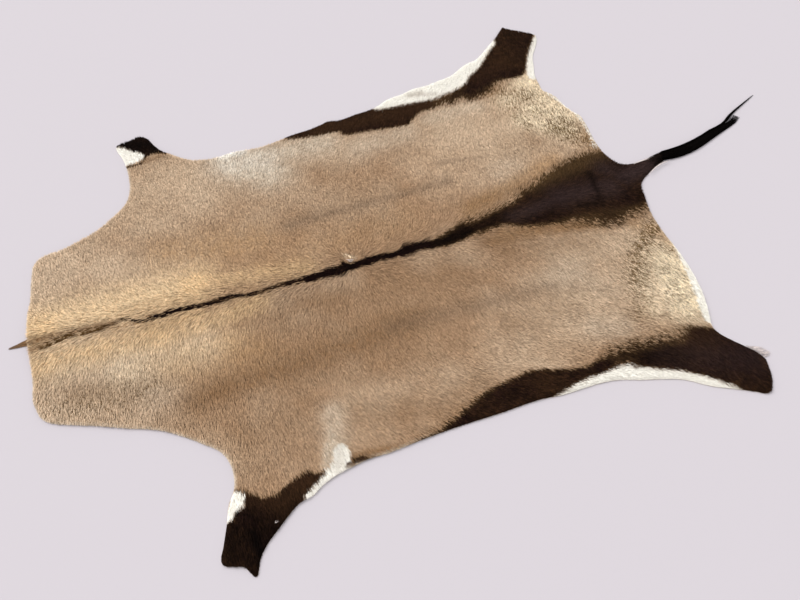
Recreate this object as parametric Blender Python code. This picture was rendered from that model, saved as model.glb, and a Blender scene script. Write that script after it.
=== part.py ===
"""Gemsbok hide: a flat pelt with the hair on, its brush of tail hair and two wisps of long hair.

Metres, +Z up. The pelt lies coat up on z = 0. The spine runs along X with the neck at -X and the
tail at +X, and the animal's right side is at +Y. Places in the plan are given in millimetres along
the spine from the neck cut and out from the spine, and the origin lies under the middle of the box
around everything.
"""

import math
import random

import bmesh
import bpy
from mathutils import Vector

MM = 0.001
MERGE_DISTANCE = 0.01 * MM

# The middle of the whole hide's box, in plan millimetres
CENTRE_ALONG = 1088.0
CENTRE_OUT = 24.5

# Pelt: the coat's height over the floor, and the low rim along its cut edge
COAT_HEIGHT = 6.0 * MM
RIM_HEIGHT = 2.4 * MM
RIM_WIDTH = 4.5 * MM
SURFACE_PITCH = 42.0 * MM
EDGE_STEPS = 3
FLAT_NORMAL = 0.9

# Pelt: the crest of hair along the neck and back, the rounder tail and the soft cockles
CREST_HEIGHT = 2.0 * MM
CREST_HALF_WIDTH = 26.0 * MM
CREST_END_ALONG = 1150.0
TAIL_HEIGHT = 4.0 * MM
TAIL_HALF_WIDTH = 17.0 * MM
TAIL_ROOT_ALONG = 1670.0
TAIL_RISE_LENGTH = 60.0
TAIL_END_ALONG = 1799.0
TAIL_END_OUT = 41.0
TAIL_SLANT = 0.28
COCKLE_HEIGHT = 0.8 * MM
COCKLE_LENGTH = 310.0 * MM
# Each row is one ripple of the cockles: turns per cockle length along X and along Y, and its share
COCKLE_RIPPLES = [(1.0, 0.35, 0.6), (-0.35, 0.8, 0.6), (1.9, -1.1, 0.5)]

# Locks of long hair: thickness to pitch, the gap between layers, the share of a lock's length where
# its taper starts, the tip's share of the thickness, and the reach over which a band's way is measured
LOCK_FILL = 0.86
LAYER_GAP = 0.3 * MM
LOCK_STEPS = 12
TAPER_START = 0.55
TIP_SHARE = 0.5
HALF_PROBE = 0.02

# Root blocks: the gap to the pelt in plan millimetres, each depth and height, and how far the blocks
# stay off the floor that the locks lie on
SEAM_GAP = 0.3
HEAD_DEPTH = 14.0 * MM
HEAD_HEIGHT = 11.4 * MM
STRIP_DEPTH = 4.5 * MM
MANE_STRIP_HEIGHT = 4.2 * MM
TUFT_STRIP_HEIGHT = 5.4 * MM
ROOT_LIFT = 0.4 * MM

# Linear colours and roughness
COAT_TAN = (0.462, 0.323, 0.209, 1.0)
BRUSH_BLACK = (0.006, 0.005, 0.005, 1.0)
CREST_BROWN = (0.180, 0.122, 0.078, 1.0)
TUFT_WHITE = (0.760, 0.716, 0.640, 1.0)
COAT_ROUGHNESS = 0.85
HAIR_ROUGHNESS = 0.6

# The cut edge, once round: up the neck cut from the spine, along the animal's right side to the
# tail and back along its left. Each place is (mm along the spine, mm out from it, how it turns).
CURVE = "AUTO"
CORNER = "VECTOR"

NECK_CUT_RIGHT = [
    (-3, 0, CURVE), (1, 90, CURVE), (12, 140, CURVE), (23, 225, CURVE), (33, 262, CURVE), (60, 280, CURVE),
]
NECK_SIDE_RIGHT = [
    (105, 285, CURVE), (150, 300, CURVE), (200, 321, CURVE), (245, 354, CURVE), (290, 395, CURVE),
    (309, 440, CURVE), (316, 490, CURVE),
]
# The right foreleg is cut short, a hand below the elbow
RIGHT_FORELEG = [
    (316, 545, CURVE), (310, 590, CURVE), (300, 630, CURVE), (302, 643, CORNER), (345, 651, CURVE),
    (368, 658, CURVE), (390, 650, CURVE), (405, 617, CURVE), (424, 578, CURVE), (455, 547, CURVE),
]
RIGHT_FLANK = [
    (488, 515, CURVE), (530, 496, CURVE), (575, 491, CURVE), (625, 496, CURVE), (690, 489, CURVE),
    (750, 496, CURVE), (800, 508, CURVE), (860, 514, CURVE), (895, 521, CURVE), (920, 529, CURVE),
    (955, 521, CURVE), (1000, 528, CURVE), (1050, 532, CURVE), (1090, 543, CURVE), (1125, 561, CURVE),
    (1175, 569, CURVE), (1215, 581, CURVE), (1260, 581, CURVE), (1310, 590, CURVE),
]
RIGHT_HIND_LEG = [
    (1357, 600, CURVE), (1400, 624, CURVE), (1430, 639, CURVE), (1465, 646, CURVE), (1505, 673, CURVE),
    (1545, 705, CURVE), (1583, 736, CURVE), (1607, 761, CURVE), (1633, 785, CORNER), (1642, 767, CURVE),
    (1668, 746, CURVE), (1718, 705, CORNER), (1711, 681, CURVE), (1686, 643, CURVE), (1659, 605, CURVE),
    (1638, 555, CURVE), (1620, 509, CURVE), (1614, 464, CURVE), (1611, 434, CURVE),
]
RUMP_RIGHT = [
    (1624, 412, CURVE), (1635, 390, CURVE), (1641, 350, CURVE), (1651, 312, CURVE), (1664, 288, CURVE),
    (1663, 250, CURVE), (1654, 183, CURVE), (1651, 140, CURVE), (1654, 98, CURVE), (1667, 62, CURVE),
]
# The skin of the tail ends in a straight cut inside the brush
TAIL_SKIN = [
    (1690, 49, CURVE), (1745, 48, CURVE), (1780, 54, CURVE), (1799, 58, CORNER), (1799, 24, CORNER),
    (1767, 13, CURVE), (1731, -6, CURVE), (1703, -23, CURVE), (1684, -43, CURVE),
]
RUMP_LEFT = [
    (1674, -75, CURVE), (1660, -125, CURVE), (1652, -203, CURVE), (1654, -290, CURVE), (1648, -366, CURVE),
    (1633, -439, CURVE), (1610, -500, CURVE), (1600, -525, CURVE),
]
LEFT_HIND_LEG = [
    (1602, -545, CURVE), (1620, -577, CURVE), (1641, -605, CURVE), (1666, -650, CURVE), (1660, -674, CURVE),
    (1637, -721, CURVE), (1616, -736, CURVE), (1591, -723, CURVE), (1550, -700, CURVE), (1500, -673, CURVE),
    (1450, -636, CURVE), (1400, -616, CURVE), (1350, -600, CURVE), (1305, -583, CURVE), (1250, -575, CURVE),
]
LEFT_FLANK = [
    (1160, -573, CURVE), (1110, -566, CURVE), (1000, -566, CURVE), (900, -564, CURVE), (800, -566, CURVE),
    (730, -570, CURVE), (680, -568, CURVE), (640, -573, CURVE), (605, -579, CURVE),
]
# The left foreleg is longer and ends in a point
LEFT_FORELEG = [
    (568, -591, CURVE), (542, -606, CURVE), (510, -613, CURVE), (485, -628, CURVE), (456, -650, CURVE),
    (422, -676, CURVE), (401, -701, CURVE), (391, -724, CURVE), (385, -733, CURVE), (376, -724, CURVE),
    (366, -706, CURVE), (345, -697, CURVE), (327, -688, CURVE), (324, -678, CURVE), (334, -652, CURVE),
    (353, -603, CURVE), (365, -566, CURVE), (384, -535, CURVE), (391, -500, CURVE), (389, -470, CURVE),
    (374, -434, CURVE), (345, -406, CURVE),
]
NECK_SIDE_LEFT = [
    (305, -370, CURVE), (252, -333, CURVE), (190, -306, CURVE), (125, -275, CURVE), (70, -252, CURVE),
    (30, -233, CURVE), (9, -213, CURVE), (0, -188, CURVE), (-6, -158, CURVE), (-2, -110, CURVE),
]
CUT_EDGE = (
    NECK_CUT_RIGHT + NECK_SIDE_RIGHT + RIGHT_FORELEG + RIGHT_FLANK + RIGHT_HIND_LEG + RUMP_RIGHT
    + TAIL_SKIN + RUMP_LEFT + LEFT_HIND_LEG + LEFT_FLANK + LEFT_FORELEG + NECK_SIDE_LEFT
)

# Bands of long hair from root to tip: the plan point (along, out) on one side, then on the other
BRUSH_BAND = [
    ((1803, 24), (1803, 53)), ((1850, 20), (1850, 52)), ((1900, 27), (1900, 58)), ((1950, 41), (1950, 70)),
    ((2000, 59), (2000, 86)), ((2050, 76), (2050, 94)), ((2095, 93), (2092, 105)), ((2123, 115), (2122, 119)),
]
WISP_BAND = [
    ((1803, 53.5), (1803, 60)), ((1850, 52.5), (1850, 59)), ((1900, 58.5), (1900, 65)),
    ((1950, 70.5), (1950, 77)), ((2000, 86.5), (2000, 93)), ((2047, 95), (2044, 100)),
    ((2078, 108), (2075, 114)), ((2104, 128), (2100, 134)), ((2145, 147), (2143, 152)),
    ((2226, 184), (2225, 186)),
]
MANE_BAND = [
    ((-4.5, 4), (-4.5, 23)), ((-14, 6), (-14, 21)), ((-32, 7), (-32, 16)), ((-50, 9), (-49, 13)),
]
TUFT_BAND = [
    ((1651.5, -611), (1672, -648)), ((1657, -612), (1676, -648)), ((1665, -616), (1681, -647)),
    ((1679, -624), (1690, -640)),
]

# Groups of locks: (band, locks side by side, layers, where the shortest ends, where the longest ends)
BRUSH_GROUPS = [(BRUSH_BAND, 8, 3, 0.80, 1.00), (WISP_BAND, 2, 2, 0.88, 1.00)]
MANE_GROUPS = [(MANE_BAND, 5, 1, 0.65, 1.00)]
TUFT_GROUPS = [(TUFT_BAND, 9, 1, 0.55, 1.00)]

# The pelt's side of each root block: the block's face runs between these two plan points, and the
# block lies to the right of that run
HEAD_FACE = ((1799 + SEAM_GAP, 23), (1799 + SEAM_GAP, 61))
MANE_FACE = ((-3 - SEAM_GAP, 24), (-3 - SEAM_GAP, 3))
TUFT_FACE = ((1669.9, -649), (1648.6, -609.5))


def place(along, out, height=0.0):
    """The point at these plan millimetres, with its height in metres."""
    return Vector(((along - CENTRE_ALONG) * MM, (out - CENTRE_OUT) * MM, height))


def new_material(name, colour, roughness):
    """A Principled material of one colour."""
    material = bpy.data.materials.new(name)
    material.use_nodes = True
    material.diffuse_color = colour
    shader = material.node_tree.nodes["Principled BSDF"]
    shader.inputs["Base Color"].default_value = colour
    shader.inputs["Roughness"].default_value = roughness
    shader.inputs["Metallic"].default_value = 0.0
    return material


def new_object(name, data, collection):
    """A new object of this data in this collection."""
    item = bpy.data.objects.new(name, data)
    collection.objects.link(item)
    return item


def as_mesh(source, name, collection):
    """Replace an object, with its modifiers or curve bevel, by one closed mesh object."""
    bpy.context.view_layer.update()
    mesh = bpy.data.meshes.new_from_object(source.evaluated_get(bpy.context.evaluated_depsgraph_get()))
    mesh.transform(source.matrix_world)
    bpy.data.objects.remove(source, do_unlink=True)
    cage = bmesh.new()
    cage.from_mesh(mesh)
    bmesh.ops.remove_doubles(cage, verts=cage.verts, dist=MERGE_DISTANCE)
    cage.to_mesh(mesh)
    cage.free()
    mesh.materials.clear()
    mesh.name = name
    return new_object(name, mesh, collection)


def flat_sheet(name, places, height, collection):
    """A flat sheet of this outline, from z = 0 up to the height."""
    curve = bpy.data.curves.new(name, "CURVE")
    curve.dimensions = "2D"
    curve.fill_mode = "BOTH"
    curve.extrude = height / 2
    curve.resolution_u = EDGE_STEPS
    spline = curve.splines.new("BEZIER")
    spline.use_cyclic_u = True
    spline.bezier_points.add(len(places) - 1)
    for knot, (along, out, turn) in zip(spline.bezier_points, places):
        knot.co = place(along, out)
        knot.handle_left_type = turn
        knot.handle_right_type = turn
    outline = new_object(name, curve, collection)
    outline.location.z = height / 2
    return as_mesh(outline, name, collection)


def soft_bump(distance, half_width):
    """One at no distance, falling off softly over about the half width."""
    return math.exp(-((distance / half_width) ** 2))


def share_between(value, low, high):
    """How far the value lies from low to high, kept from 0 to 1."""
    return min(max((value - low) / (high - low), 0.0), 1.0)


def coat_top(x, y):
    """Height of the lying coat: its nap, the crest along the neck, the round tail and soft cockles."""
    along = x / MM + CENTRE_ALONG
    crest_share = math.sqrt(1.0 - share_between(along, 0.0, CREST_END_ALONG))
    crest = CREST_HEIGHT * crest_share * soft_bump(y - place(0, 0).y, CREST_HALF_WIDTH)
    tail_middle = place(along, TAIL_END_OUT - TAIL_SLANT * (TAIL_END_ALONG - along)).y
    tail_share = share_between(along, TAIL_ROOT_ALONG, TAIL_ROOT_ALONG + TAIL_RISE_LENGTH)
    tail = TAIL_HEIGHT * tail_share * soft_bump(y - tail_middle, TAIL_HALF_WIDTH)
    turn = 2 * math.pi / COCKLE_LENGTH
    cockle = sum(part * math.sin(turn * (in_x * x + in_y * y)) for in_x, in_y, part in COCKLE_RIPPLES)
    return COAT_HEIGHT + crest + tail + COCKLE_HEIGHT * cockle


def score_across(cage, faces, axis, low, high):
    """Divide the faces by evenly spaced lines across this axis and return all of them."""
    lines = int((high - low) / SURFACE_PITCH)
    for line in range(1, lines + 1):
        point = Vector((0.0, 0.0, 0.0))
        point[axis] = low + (high - low) * line / (lines + 1)
        direction = Vector((0.0, 0.0, 0.0))
        direction[axis] = 1.0
        parts = set(faces)
        for face in faces:
            parts.update(face.edges)
            parts.update(face.verts)
        cut = bmesh.ops.bisect_plane(
            cage, geom=list(parts), dist=MERGE_DISTANCE, plane_co=point, plane_no=direction
        )
        faces = [part for part in cut["geom"] if isinstance(part, bmesh.types.BMFace)]
    return faces


def raise_coat(pelt):
    """Give the sheet's top face the coat's height, down to a low rim along the cut edge."""
    cage = bmesh.new()
    cage.from_mesh(pelt.data)
    bmesh.ops.recalc_face_normals(cage, faces=cage.faces)
    for side in (-1.0, 1.0):
        flat = [face for face in cage.faces if face.normal.z * side > FLAT_NORMAL]
        bmesh.ops.dissolve_faces(cage, faces=flat)
    top = max(cage.faces, key=lambda face: face.normal.z * face.calc_area())
    bmesh.ops.inset_region(cage, faces=[top], thickness=RIM_WIDTH)
    box = [(min(v.co[axis] for v in top.verts), max(v.co[axis] for v in top.verts)) for axis in (0, 1)]
    faces = [top]
    for axis, (low, high) in enumerate(box):
        faces = score_across(cage, faces, axis, low, high)
    for vertex in {vertex for face in faces for vertex in face.verts}:
        vertex.co.z = coat_top(vertex.co.x, vertex.co.y)
    bmesh.ops.triangulate(cage, faces=cage.faces)
    cage.to_mesh(pelt.data)
    cage.free()


def on_band(band, reach, share):
    """The plan point at this reach (0 root to 1 tip) and this share of the way across a band."""
    station = min(int(reach * (len(band) - 1)), len(band) - 2)
    near_one, near_other = (Vector(side) for side in band[station])
    far_one, far_other = (Vector(side) for side in band[station + 1])
    part = reach * (len(band) - 1) - station
    return near_one.lerp(near_other, share).lerp(far_one.lerp(far_other, share), part)


def band_width(band, reach, share):
    """Width of a band at this reach, in metres, square to the way its hair runs there."""
    across = on_band(band, reach, 1.0) - on_band(band, reach, 0.0)
    behind = on_band(band, max(reach - HALF_PROBE, 0.0), share)
    ahead = on_band(band, min(reach + HALF_PROBE, 1.0), share)
    return abs(across.cross((ahead - behind).normalized())) * MM


def add_lock(curve, band, share, count, layer, tip_reach):
    """One lock of four sides that lies level along its band and tapers to its tip."""
    spline = curve.splines.new("POLY")
    spline.points.add(LOCK_STEPS - 1)
    for step, knot in enumerate(spline.points):
        part = step / (LOCK_STEPS - 1)
        reach = tip_reach * part
        thickness = band_width(band, reach, share) / count * LOCK_FILL
        half = thickness / 2 * (1.0 - (1.0 - TIP_SHARE) * share_between(part, TAPER_START, 1.0))
        middle = on_band(band, reach, share)
        knot.co = (*place(middle.x, middle.y, layer * (thickness + LAYER_GAP) + half), 1.0)
        knot.radius = half * math.sqrt(2.0) / curve.bevel_depth
        knot.tilt = math.radians(45.0)


def root_block(name, face, depth, height, collection):
    """A block just off the floor: its face runs between two plan points, its depth lies to their right."""
    start, end = (place(*point) for point in face)
    run = end - start
    deep = Vector((run.y, -run.x, 0.0)).normalized() * depth
    middle = (start + end + deep) / 2
    bpy.ops.mesh.primitive_cube_add(
        size=1.0,
        location=(middle.x, middle.y, ROOT_LIFT + height / 2),
        rotation=(0.0, 0.0, math.atan2(run.y, run.x)),
        scale=(run.length, depth, height),
    )
    block = bpy.context.object
    block.name = name
    for owner in block.users_collection:
        owner.objects.unlink(block)
    collection.objects.link(block)
    bpy.ops.object.transform_apply(location=False, rotation=False, scale=True)
    return block


def hair_piece(name, groups, face, depth, height, material, collection):
    """Locks of long hair whose roots are fused into one block beside the pelt."""
    curve = bpy.data.curves.new(name, "CURVE")
    curve.dimensions = "3D"
    curve.twist_mode = "Z_UP"
    curve.bevel_depth = 1.0 * MM
    curve.bevel_resolution = 0
    curve.use_fill_caps = True
    for band, count, layers, shortest, longest in groups:
        for layer in range(layers):
            for lock in range(count):
                tip_reach = random.uniform(shortest, longest)
                if layer == 0 and lock == count // 2:
                    tip_reach = longest
                add_lock(curve, band, (lock + 0.5) / count, count, layer, tip_reach)
    locks = as_mesh(new_object(name, curve, collection), name, collection)
    block = root_block(name + "_roots", face, depth, height, collection)
    union = locks.modifiers.new("roots", "BOOLEAN")
    union.operation = "UNION"
    union.solver = "EXACT"
    union.object = block
    piece = as_mesh(locks, name, collection)
    bpy.data.objects.remove(block, do_unlink=True)
    piece.data.materials.append(material)
    return piece


def build():
    """Model the pelt, the tail's brush and the two wisps."""
    random.seed(7)
    for item in list(bpy.data.objects):
        bpy.data.objects.remove(item, do_unlink=True)
    collection = bpy.data.collections.new("gemsbok_hide")
    bpy.context.scene.collection.children.link(collection)

    pelt = flat_sheet("hide", CUT_EDGE, RIM_HEIGHT, collection)
    raise_coat(pelt)
    pelt.data.materials.append(new_material("hide_coat", COAT_TAN, COAT_ROUGHNESS))

    hair_piece(
        "tail_brush", BRUSH_GROUPS, HEAD_FACE, HEAD_DEPTH, HEAD_HEIGHT,
        new_material("tail_hair", BRUSH_BLACK, HAIR_ROUGHNESS), collection,
    )
    hair_piece(
        "mane_wisp", MANE_GROUPS, MANE_FACE, STRIP_DEPTH, MANE_STRIP_HEIGHT,
        new_material("mane_hair", CREST_BROWN, HAIR_ROUGHNESS), collection,
    )
    hair_piece(
        "hock_tuft", TUFT_GROUPS, TUFT_FACE, STRIP_DEPTH, TUFT_STRIP_HEIGHT,
        new_material("tuft_hair", TUFT_WHITE, HAIR_ROUGHNESS), collection,
    )


build()
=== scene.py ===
import math
from functools import partial

import bmesh
import bpy
import numpy as np
from bpy.props import FloatProperty, FloatVectorProperty, IntProperty, PointerProperty
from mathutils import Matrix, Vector
from mathutils.bvhtree import BVHTree
from mathutils.geometry import delaunay_2d_cdt


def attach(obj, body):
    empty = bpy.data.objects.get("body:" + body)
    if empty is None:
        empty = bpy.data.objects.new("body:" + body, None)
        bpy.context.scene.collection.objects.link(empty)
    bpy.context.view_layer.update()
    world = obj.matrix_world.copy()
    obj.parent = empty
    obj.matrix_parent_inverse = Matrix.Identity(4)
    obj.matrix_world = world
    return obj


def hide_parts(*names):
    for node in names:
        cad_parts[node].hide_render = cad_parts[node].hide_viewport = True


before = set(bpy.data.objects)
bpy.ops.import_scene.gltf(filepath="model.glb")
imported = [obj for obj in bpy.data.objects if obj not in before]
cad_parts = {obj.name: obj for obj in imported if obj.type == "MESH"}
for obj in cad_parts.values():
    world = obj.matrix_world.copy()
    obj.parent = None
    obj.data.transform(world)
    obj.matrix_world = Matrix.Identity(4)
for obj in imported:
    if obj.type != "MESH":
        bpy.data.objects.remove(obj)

bl_info = {
    "name": "Gemsbok hide",
    "version": (1, 0, 0),
    "blender": (4, 5, 0),
    "location": "3D View > Sidebar > Hide",
    "description": "Lays a tanned gemsbok hide with its coat, markings, crest and tail brush",
    "category": "Object",
}

MM = 0.001
BODY = "root"
MATH, VECTOR, NOISE, RANGE, MIX = (
    "ShaderNodeMath", "ShaderNodeVectorMath", "ShaderNodeTexNoise", "ShaderNodeMapRange", "ShaderNodeMix",
)

# The hide is measured in millimetres: along the spine from the neck cut, and out from the spine
# towards the animal's right. This point of it lies at the middle of the frame.
CENTRE_ALONG = 1088.0
CENTRE_OUT = 24.5

# The spine, where the hair parts: (along, out)
SPINE = [
    (-60, 10), (0, 2), (120, 0), (190, -8), (300, -10), (460, -24), (620, -35), (780, -33),
    (960, -34), (1150, -22), (1350, -8), (1560, 0), (1690, 8), (1760, 24), (1840, 36),
]

# Markings. Each row of an outline is (along, out), and the outline is drawn through its rows as one
# smooth closed line. Where a marking ends at the cut edge, its outline runs on past the skin.
RUMP_PATCH = [
    (1015, -24), (1044, -23), (1075, -16), (1108, -5), (1145, 8), (1206, 11), (1243, 19), (1290, 30),
    (1321, 32), (1350, 60), (1391, 70), (1426, 86), (1470, 104), (1512, 121), (1557, 132), (1586, 136),
    (1617, 134), (1656, 133), (1690, 112), (1720, 80), (1850, 75), (1850, -10), (1740, -40), (1690, -80),
    (1662, -118), (1607, -128), (1564, -141), (1520, -139), (1485, -116), (1430, -93), (1364, -80),
    (1300, -64), (1262, -41), (1217, -43), (1182, -45), (1145, -49), (1105, -54), (1075, -55),
    (1050, -50), (1015, -40),
]
RIGHT_FLANK_BAND = [
    (784, 506), (800, 498), (873, 483), (938, 481), (958, 457), (1018, 449), (1118, 437), (1152, 437),
    (1178, 457), (1209, 476), (1250, 477), (1300, 487), (1313, 478), (1350, 488), (1390, 469),
    (1445, 490), (1468, 504), (1509, 529), (1572, 525), (1606, 548), (1628, 588), (1659, 636),
    (1690, 677), (1712, 708), (1740, 760), (1640, 800), (1588, 750), (1570, 708), (1536, 680),
    (1482, 625), (1452, 602), (1423, 584), (1391, 552), (1341, 534), (1268, 518), (1200, 524),
    (1132, 527), (1085, 533), (1050, 560), (900, 560), (800, 530),
]
LEFT_FLANK_BAND = [
    (770, -572), (800, -563), (868, -550), (909, -535), (973, -508), (1027, -496), (1077, -489),
    (1123, -485), (1165, -499), (1210, -514), (1254, -521), (1306, -510), (1352, -501), (1389, -505),
    (1425, -510), (1469, -512), (1508, -520), (1543, -505), (1571, -515), (1600, -531),
    (1700, -600), (1720, -760), (1600, -790), (1568, -706), (1541, -677), (1514, -652), (1482, -627),
    (1450, -607), (1400, -583), (1360, -563), (1345, -549), (1300, -551), (1227, -553), (1177, -561),
    (1139, -570), (1080, -600), (900, -610),
]
RIGHT_FORELEG_CAP = [
    (292, 660), (305, 646), (318, 634), (330, 621), (342, 609), (356, 599), (368, 589), (378, 575),
    (410, 575), (440, 566), (460, 640), (400, 700), (300, 700),
]
LEFT_FORELEG_PATCH = [
    (330, -616), (352, -602), (366, -598), (378, -585), (396, -577), (401, -560), (411, -551),
    (420, -558), (436, -573), (472, -576), (490, -564), (517, -555), (546, -547), (561, -559),
    (585, -562), (567, -574), (544, -588), (524, -602), (500, -650), (460, -780), (340, -780),
    (300, -690),
]
DARK_MARKS = [RUMP_PATCH, RIGHT_FLANK_BAND, LEFT_FLANK_BAND, RIGHT_FORELEG_CAP, LEFT_FORELEG_PATCH]

RIGHT_BELLY_WHITE = [
    (1040, 545), (1085, 524), (1200, 512), (1280, 508), (1345, 524), (1395, 544), (1440, 584),
    (1500, 636), (1560, 690), (1590, 745), (1520, 780), (1300, 660), (1060, 600),
]
RIGHT_HOCK_WHITE = [
    (1606, 500), (1600, 524), (1612, 558), (1630, 594), (1652, 634), (1678, 672), (1700, 700),
    (1740, 715), (1700, 620), (1640, 540), (1620, 505),
]
RIGHT_FORELEG_WHITE = [
    (288, 648), (304, 600), (311, 563), (328, 557), (350, 558), (370, 568), (376, 582), (366, 600),
    (340, 622), (306, 656),
]
LEFT_BELLY_WHITE = [
    (1110, -600), (1140, -562), (1200, -548), (1300, -542), (1350, -542), (1400, -574), (1450, -600),
    (1514, -645), (1578, -702), (1590, -760), (1450, -720), (1280, -640),
]
LEFT_FORELEG_WHITE = [
    (338, -612), (356, -582), (366, -564), (376, -545), (386, -537), (402, -548), (406, -566),
    (390, -584), (366, -600),
]
LEFT_ARMPIT_WHITE = [
    (515, -640), (520, -600), (541, -584), (562, -571), (580, -561), (594, -553), (605, -541),
    (611, -526), (617, -515), (628, -509), (640, -513), (646, -525), (645, -541), (640, -562),
    (625, -600), (600, -640),
]
WHITE_MARKS = [
    RIGHT_BELLY_WHITE, RIGHT_HOCK_WHITE, RIGHT_FORELEG_WHITE, LEFT_BELLY_WHITE, LEFT_FORELEG_WHITE,
    LEFT_ARMPIT_WHITE,
]

# Markings drawn as lines: (along, out, half the line's width)
DORSAL_STRIPE = [
    (199, -3, 2), (218, 3, 3), (234, 1, 3), (248, -8, 3), (265, -19, 3), (283, -20, 3), (303, -17, 3),
    (321, -20, 4), (341, -15, 5), (360, -14, 4), (378, -18, 4), (397, -19, 4), (416, -23, 4),
    (447, -25, 5), (474, -22, 6), (500, -23, 5), (525, -29, 4), (550, -33, 6), (576, -34, 5),
    (602, -34, 5), (623, -32, 6), (650, -31, 7), (676, -33, 7), (703, -35, 7), (730, -34, 8),
    (758, -35, 10), (778, -35, 11), (800, -31, 13), (820, -33, 10), (842, -31, 8), (869, -32, 11),
    (891, -31, 6), (911, -33, 8), (939, -35, 6), (960, -36, 9), (980, -30, 13), (999, -28, 10),
    (1026, -32, 9), (1054, -34, 12),
]
STRIPE_SPUR = [(800, -30, 5), (801, -18, 4), (800, -6, 2)]
NECK_STRANDS = [
    [
        (0, 14, 4), (37, 13, 6), (66, 10, 8), (97, 5, 9), (125, 1, 9), (150, -2, 7), (172, -4, 5),
        (200, -3, 3),
    ],
    [(4, -12, 3), (28, -11, 5), (52, -5, 7), (80, 0, 7), (110, 1, 5)],
]
FORELEG_RING = [(300, 559, 4), (316, 551, 5), (346, 544, 4), (361, 549, 4), (372, 561, 4), (378, 576, 6)]
KNEE_LINE = [(378, -534, 3), (398, -543, 4), (410, -552, 5)]
FLANK_SMUDGES = [
    (630, -564, 3), (644, -561, 4), (658, -559, 5), (672, -560, 5), (690, -564, 2), (722, -572, 2),
    (760, -574, 2), (800, -574, 3),
]
DARK_LINES = [DORSAL_STRIPE, STRIPE_SPUR, FORELEG_RING, KNEE_LINE, FLANK_SMUDGES]
LEFT_RUMP_RIM = [
    (1665, -215, 3), (1664, -280, 12), (1662, -340, 22), (1656, -400, 30), (1642, -455, 34),
    (1618, -500, 24),
]
RIGHT_RUMP_RIM = [
    (1615, 420, 2), (1634, 387, 4), (1648, 344, 5), (1660, 302, 4), (1662, 259, 3), (1655, 200, 4),
    (1644, 150, 2),
]
WHITE_LINES = [LEFT_RUMP_RIM, RIGHT_RUMP_RIM]

# Where the edge of a dark marking is feathered more: (from along, from out, to along, to out, reach, mm)
FEATHERED = [
    (1180, 20, 1640, 140, 45, 30),
    (1180, -44, 1440, -105, 40, 20),
    (1440, -105, 1640, -135, 50, 44),
    (1345, -500, 1500, -520, 44, 48),
    (1290, 490, 1500, 510, 40, 34),
    (1020, -30, 1180, -12, 30, 14),
    (800, -560, 1000, -500, 26, 14),
]

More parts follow.
